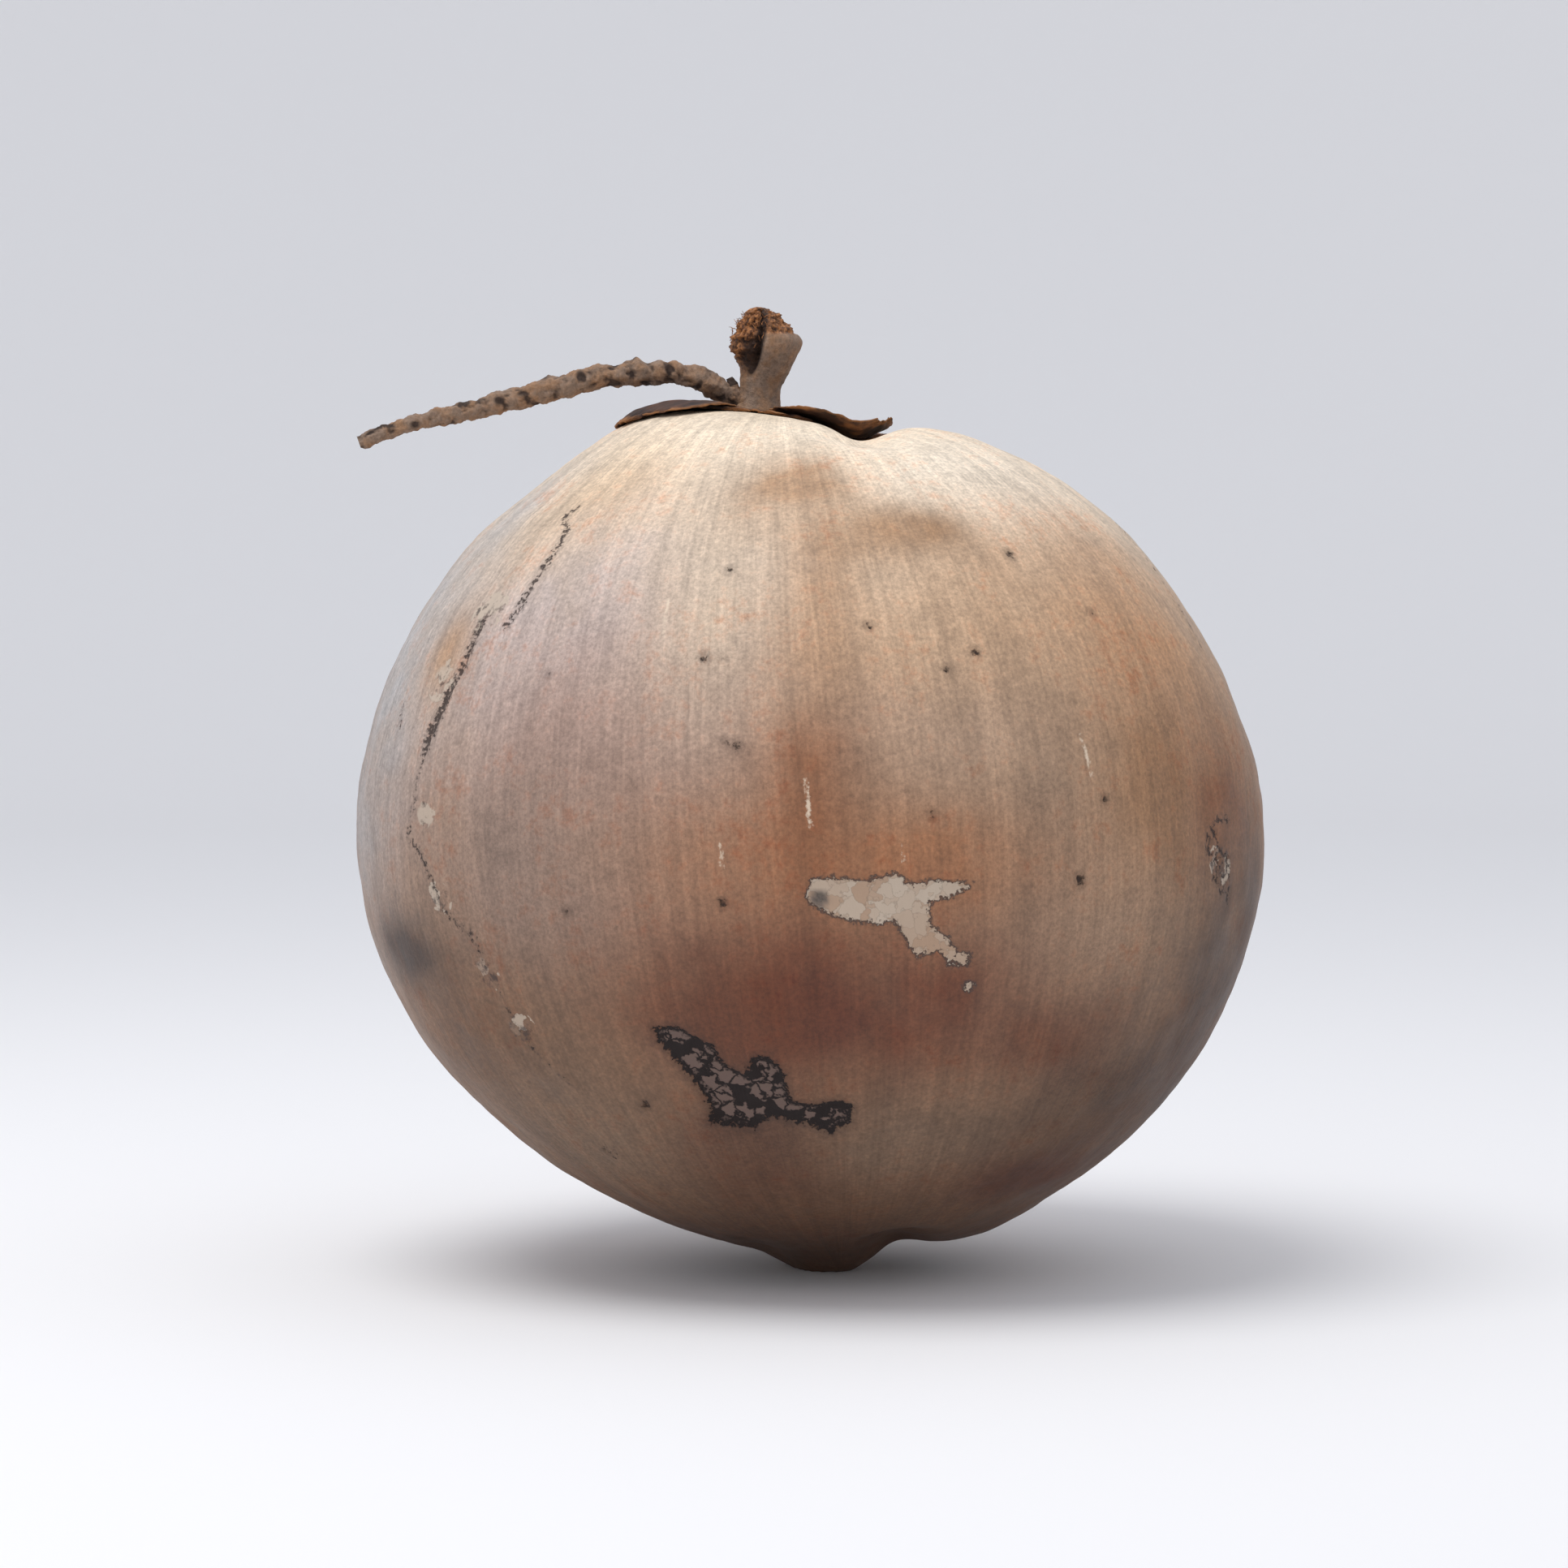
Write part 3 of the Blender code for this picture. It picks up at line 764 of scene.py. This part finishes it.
def stubSwell(length, outward, spot):
    # fine ridges on the bark; a torn head on the left, split from the bark by a deep cleft
    height = float(np.clip((spot[2] - 9.0) / 5.0, 0, 1))
    cleftAt = 0.32 * (spot[2] - 10.2) - 1.5
    acrossFront = spot[0] - cleftAt
    front = float(np.clip(-outward[1] + 0.35, 0, 1))
    cleft = math.exp(-(acrossFront / 0.95) ** 2) * front * height
    torn = float(np.clip(0.5 - acrossFront / 1.2, 0, 1)) * height * float(np.clip(0.75 - outward[1], 0, 1))
    top = float(np.clip((spot[2] - 18.2 + 0.5 * noise.noise(Vector(spot) / 2.5)) / 0.9, 0, 1))
    torn = max(torn, 0.85 * top)
    rough = noise.fractal(Vector(spot) / 2.0, 0.7, 2.0, 4)
    shreds = noise.fractal(Vector((spot[0] * 1.3, spot[1] * 1.3, spot[2] * 0.35)), 0.8, 2.0, 3)
    bark = 0.22 * noise.fractal(Vector((spot[0] * 0.9, spot[1] * 0.9, spot[2] * 0.25)), 0.8, 2.0, 3)
    pocket = math.exp(-((spot[0] + 1.6) / 2.3) ** 2 - ((spot[2] - 14.0) / 3.4) ** 2) * front
    corner = 1.0 * math.exp(-((spot[2] - 16.9) / 1.9) ** 2) * float(np.clip(outward[0], 0, 1)) ** 1.5
    corner -= 0.7 * top
    lip = 0.35 * math.exp(-((spot[2] - 0.7) / 0.5) ** 2) * noise.noise(Vector(spot) / 1.6)
    extra = bark + lip + corner + torn * (1.1 * rough + 1.0 * shreds) - 2.6 * cleft - 1.6 * pocket
    # painted shade: the cleft, the pocket and the dips of the torn fibre are marked to be darkened
    hollowShade = min(1.0, cleft * 1.3 + pocket * 0.9 + max(0.0, -rough) * torn)
    return extra, hollowShade, torn


def spikeletSwell(length, outward, spot):
    # flower scars sit on alternate sides, each a raised cushion with a sunken middle
    spacing = stalk["scarSpacing"] / 2
    lift, hollowShade = 0.0, 0.0
    nearest = round(length / spacing)
    for k in (nearest - 1, nearest, nearest + 1):
        spin = k * math.radians(146) + 0.5 * noise.noise(Vector((k * 1.7, 0, 0)))
        facing = np.array((0.0, math.cos(spin), math.sin(spin)))
        along = (length - k * spacing) / stalk["scarSize"]
        apart = math.acos(float(np.clip(outward @ facing, -1, 1))) * 2.7 / stalk["scarSize"]
        away = along ** 2 + apart ** 2
        size = 0.75 + 0.5 * noise.noise(Vector((k * 3.1, 5, 0)))
        lift += size * stalk["scarHeight"] * (math.exp(-away) - 0.75 * math.exp(-6 * away))
        hollowShade = max(hollowShade, math.exp(-5 * away))
    wither = noise.fractal(Vector(spot) / 3.2, 0.8, 2.0, 4)
    fine = noise.fractal(Vector((spot[0] * 0.3, spot[1], spot[2])), 0.8, 2.0, 2)
    # painted shade: the sunken middles of the flower scars and the withered dips are marked to be darkened
    hollowShade = min(1.0, hollowShade + max(0.0, -wither) * 1.1)
    return lift - 0.35 + 0.75 * wither + 0.18 * fine, hollowShade, 0.0


def makeStalk():
    up = direction(*husk["stalkEnd"])
    foot = skinPoints(up) / mm + up * stalk["gap"]
    bm = bmesh.new()
    marksOut = []
    stub = smoothPath(stalk["stub"], 0.22)
    stub[:, :3] += foot
    spikelet = smoothPath(stalk["spikelet"], 0.3)
    spikelet[:, :3] += foot
    marksOut += sweep(bm, stub, 84, lambda length, outward, spot: stubSwell(length, outward, spot - foot))
    marksOut += sweep(bm, spikelet, 44, spikeletSwell)
    # a short broken spur where the spikelet leaves the stub
    spur = smoothPath([((-4.2, -0.8, 5.0), 1.5), ((-5.3, -0.9, 7.6), 1.2), ((-6.0, -0.9, 9.2), 0.7)], 0.3)
    spur[:, :3] += foot
    # the spur's broken tip, past 2.8 mm, takes the same painted-shade darkening as the hollows
    marksOut += sweep(bm, spur, 16, lambda length, outward, spot: (
        0.4 * noise.fractal(Vector(spot) / 1.5, 0.8, 2.0, 3), float(length > 2.8), 0.0))
    mesh = bpy.data.meshes.new("stalkStub")
    bm.to_mesh(mesh)
    bm.free()
    marksOut = np.array(marksOut)
    addAttribute(mesh, "hollowShade", marksOut[:, 0])
    addAttribute(mesh, "torn", marksOut[:, 1])
    mesh.shade_smooth()
    made = bpy.data.objects.new("flowerStalk", mesh)
    bpy.context.scene.collection.objects.link(made)
    return made, foot


def makeFibres(foot):
    # loose broken fibres on the torn head, each a thin tapered hair
    rng = np.random.default_rng(7)
    data = bpy.data.curves.new("tornFibres", "CURVE")
    data.dimensions = "3D"
    data.bevel_depth = 0.11 * mm
    data.bevel_resolution = 1
    data.use_fill_caps = True
    for _ in range(80):
        spin = rng.uniform(2.4, 5.6)
        height = rng.uniform(14.5, 23.6)
        radius = 6.6 * math.sqrt(max(0.05, 1 - ((height - 16.5) / 8.6) ** 2))
        root = foot + np.array((0.9 + radius * math.cos(spin), -1.0 + radius * math.sin(spin), height))
        lean = np.array((math.cos(spin) * 0.5, math.sin(spin) * 0.5, 0.9)) + rng.normal(0, 0.45, 3)
        lean /= np.linalg.norm(lean)
        reach = rng.uniform(0.7, 1.5)
        spline = data.splines.new("POLY")
        spline.points.add(3)
        for k, point in enumerate(spline.points):
            share = k / 3
            bend = rng.normal(0, 0.12, 3) * share
            point.co = (*((root + lean * reach * (share - 0.25) + bend) * mm), 1)
            point.radius = 1.1 - 0.8 * share
    fibres = bpy.data.objects.new("tornFibres", data)
    bpy.context.scene.collection.objects.link(fibres)
    return fibres


# withered stalk: grey-brown bark with painted shade darkening its hollows, orange-tan fibre where it is torn
stalkFinish = {"bark": "#8a7361", "barkWarm": "#977457", "hollowShade": "#2f211b", "torn": "#b07646",
               "tornDark": "#5a3420", "grain": 1.0, "roughness": 0.8, "ior": 1.45}


def stalkMaterial(fibre=False):
    material, tree = newMaterial("tornStalkFibre" if fibre else "witheredStalkBark")
    place = addNode(tree, "ShaderNodeTexCoord", {}, output=3)
    inMm = addNode(tree, "ShaderNodeVectorMath", {"operation": "SCALE", "Scale": 1000.0}, [(0, place)])
    fine = addNode(tree, "ShaderNodeTexNoise",
                   {"Scale": 1 / stalkFinish["grain"], "Detail": 4.0, "Roughness": 0.7}, [("Vector", inMm)])
    broad = addNode(tree, "ShaderNodeTexNoise", {"Scale": 0.22, "Detail": 4.0, "Roughness": 0.6},
                    [("Vector", inMm)])
    tone = addNode(tree, "ShaderNodeMapRange", {"From Min": 0.42, "From Max": 0.6}, [("Value", broad)])
    bark = addNode(tree, "ShaderNodeMix",
                   {"data_type": "RGBA", 6: stalkFinish["bark"], 7: stalkFinish["barkWarm"]},
                   [(0, tone)], output=2)
    shreds = addNode(tree, "ShaderNodeMapRange", {"From Min": 0.38, "From Max": 0.6}, [("Value", fine)])
    torn = addNode(tree, "ShaderNodeMix",
                   {"data_type": "RGBA", 6: stalkFinish["tornDark"], 7: stalkFinish["torn"]},
                   [(0, shreds)], output=2)
    shade = addNode(tree, "ShaderNodeMapRange",
                    {"From Min": 0.3, "From Max": 0.7, "To Min": 0.68, "To Max": 1.3}, [("Value", fine)])
    if fibre:
        skin = torn
    else:
        hollowShade = addNode(tree, "ShaderNodeAttribute", {"attribute_name": "hollowShade"}, output=2)
        tornMask = addNode(tree, "ShaderNodeAttribute", {"attribute_name": "torn"}, output=2)
        skin = addNode(tree, "ShaderNodeMix", {"data_type": "RGBA"},
                       [(0, tornMask), (6, bark), (7, torn)], output=2)
        # painted shade: the hollows are mixed towards a near-black brown
        deep = addNode(tree, "ShaderNodeMapRange",
                       {"From Min": 0.12, "From Max": 0.62, "To Min": 0.0, "To Max": 0.92},
                       [("Value", hollowShade)])
        skin = addNode(tree, "ShaderNodeMix", {"data_type": "RGBA", 7: stalkFinish["hollowShade"]},
                       [(0, deep), (6, skin)], output=2)
    skin = addNode(tree, "ShaderNodeVectorMath", {"operation": "SCALE"}, [(0, skin), ("Scale", shade)])
    bump = addNode(tree, "ShaderNodeBump", {"Strength": 0.9, "Distance": 0.5 * mm}, [("Height", fine)])
    shader = addNode(tree, "ShaderNodeBsdfPrincipled",
                     {"Roughness": stalkFinish["roughness"], "IOR": stalkFinish["ior"]},
                     [("Base Color", skin), ("Normal", bump)])
    addNode(tree, "ShaderNodeOutputMaterial", {}, [("Surface", shader)])
    return material


# plain sweep of pale card all round, so every view has the same backdrop
stageSet = {"floorRadius": 2.2, "wallRadius": 3.0, "wallHeight": 1.1, "steps": 14, "segments": 96}


def makeStage():
    bm = bmesh.new()
    rings = [[bm.verts.new((0, 0, 0))]]
    radii = [(stageSet["floorRadius"] * k / 4, 0) for k in range(1, 5)]
    run, rise = stageSet["wallRadius"] - stageSet["floorRadius"], stageSet["wallHeight"]
    for step in range(1, stageSet["steps"] + 1):
        angle = 0.5 * math.pi * step / stageSet["steps"]
        radii.append((stageSet["floorRadius"] + run * math.sin(angle), rise * (1 - math.cos(angle))))
    for radius, height in radii:
        ring = []
        for k in range(stageSet["segments"]):
            angle = 2 * math.pi * k / stageSet["segments"]
            ring.append(bm.verts.new((radius * math.cos(angle), radius * math.sin(angle), height)))
        rings.append(ring)
    count = stageSet["segments"]
    for k in range(count):
        bm.faces.new((rings[0][0], rings[1][k], rings[1][(k + 1) % count]))
    for inner, outer in zip(rings[1:], rings[2:]):
        for k in range(count):
            bm.faces.new((inner[k], outer[k], outer[(k + 1) % count], inner[(k + 1) % count]))
    mesh = bpy.data.meshes.new("paleFloor")
    bm.to_mesh(mesh)
    bm.free()
    mesh.shade_smooth()
    floor = bpy.data.objects.new("paleFloor", mesh)
    bpy.context.scene.collection.objects.link(floor)
    material, tree = newMaterial("mattCard")
    shader = addNode(tree, "ShaderNodeBsdfPrincipled", {"Base Color": "#f4f3f2", "Roughness": 0.9})
    addNode(tree, "ShaderNodeOutputMaterial", {}, [("Surface", shader)])
    mesh.materials.append(material)


# camera a little above the middle of the fruit, nearly level
view = {"lens": 100, "sensor": 36, "distance": 0.960, "elevation": 2.0, "aim": (-5.25, -1.6, 106.6)}
light = {"world": 0.8, "worldColour": "#f3f6ff", "key": 5.6, "keySize": 0.7, "keyPlace": (-0.3, -0.25, 1.1)}


def makeCamera():
    data = bpy.data.cameras.new("camera")
    data.lens = view["lens"]
    data.sensor_width = view["sensor"]
    camera = bpy.data.objects.new("camera", data)
    aim = Vector(view["aim"]) * mm
    lift = math.radians(view["elevation"])
    camera.location = aim + Vector((0, -math.cos(lift), math.sin(lift))) * view["distance"]
    camera.rotation_euler = (math.pi / 2 - lift, 0, 0)
    bpy.context.scene.collection.objects.link(camera)
    bpy.context.scene.camera = camera


def makeLights():
    world = bpy.data.worlds.new("softBox")
    bpy.context.scene.world = world
    world.use_nodes = True
    background = world.node_tree.nodes["Background"]
    background.inputs["Color"].default_value = (*linear(light["worldColour"]), 1)
    background.inputs["Strength"].default_value = light["world"]
    data = bpy.data.lights.new("overhead", "AREA")
    data.shape = "DISK"
    data.size = light["keySize"]
    data.energy = light["key"]
    lamp = bpy.data.objects.new("overhead", data)
    lamp.location = light["keyPlace"]
    lamp.rotation_euler = (Vector((0, 0, 0.1)) - lamp.location).to_track_quat("-Z", "Y").to_euler()
    bpy.context.scene.collection.objects.link(lamp)
    bpy.context.scene.view_settings.view_transform = "Standard"


makeStage()
makeCamera()
makeLights()
print("stage, camera and lights made")

fruit = makeFruit()
fruit.data.materials.append(huskMaterial())
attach(fruit, "root")
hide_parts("fruit")
print("fruit made", len(fruit.data.polygons))

tepal = calyxMaterial()
cadNames = {"petalLeft": "petal_left", "petalRight": "petal_right", "petalFront": "petal_front",
            "sepalRight": "sepal_right", "sepalLeft": "sepal_left", "sepalBack": "sepal_back"}
whorls = [(name, spec, calyx["petalLift"]) for name, spec in calyx["petals"].items()]
whorls += [(name, spec, calyx["sepalLift"]) for name, spec in calyx["sepals"].items()]
for seed, (name, spec, lift) in enumerate(whorls):
    scale = makeScale(name, *spec, lift, seed + 1)
    scale.data.materials.append(tepal)
    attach(scale, "root")
    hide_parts(cadNames[name])
print("calyx made")

flowerStalk, stalkFoot = makeStalk()
flowerStalk.data.materials.append(stalkMaterial())
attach(flowerStalk, "root")
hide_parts("stalk")
fibres = makeFibres(stalkFoot)
fibres.data.materials.append(stalkMaterial(fibre=True))
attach(fibres, "root")
print("stalk made", len(flowerStalk.data.polygons))
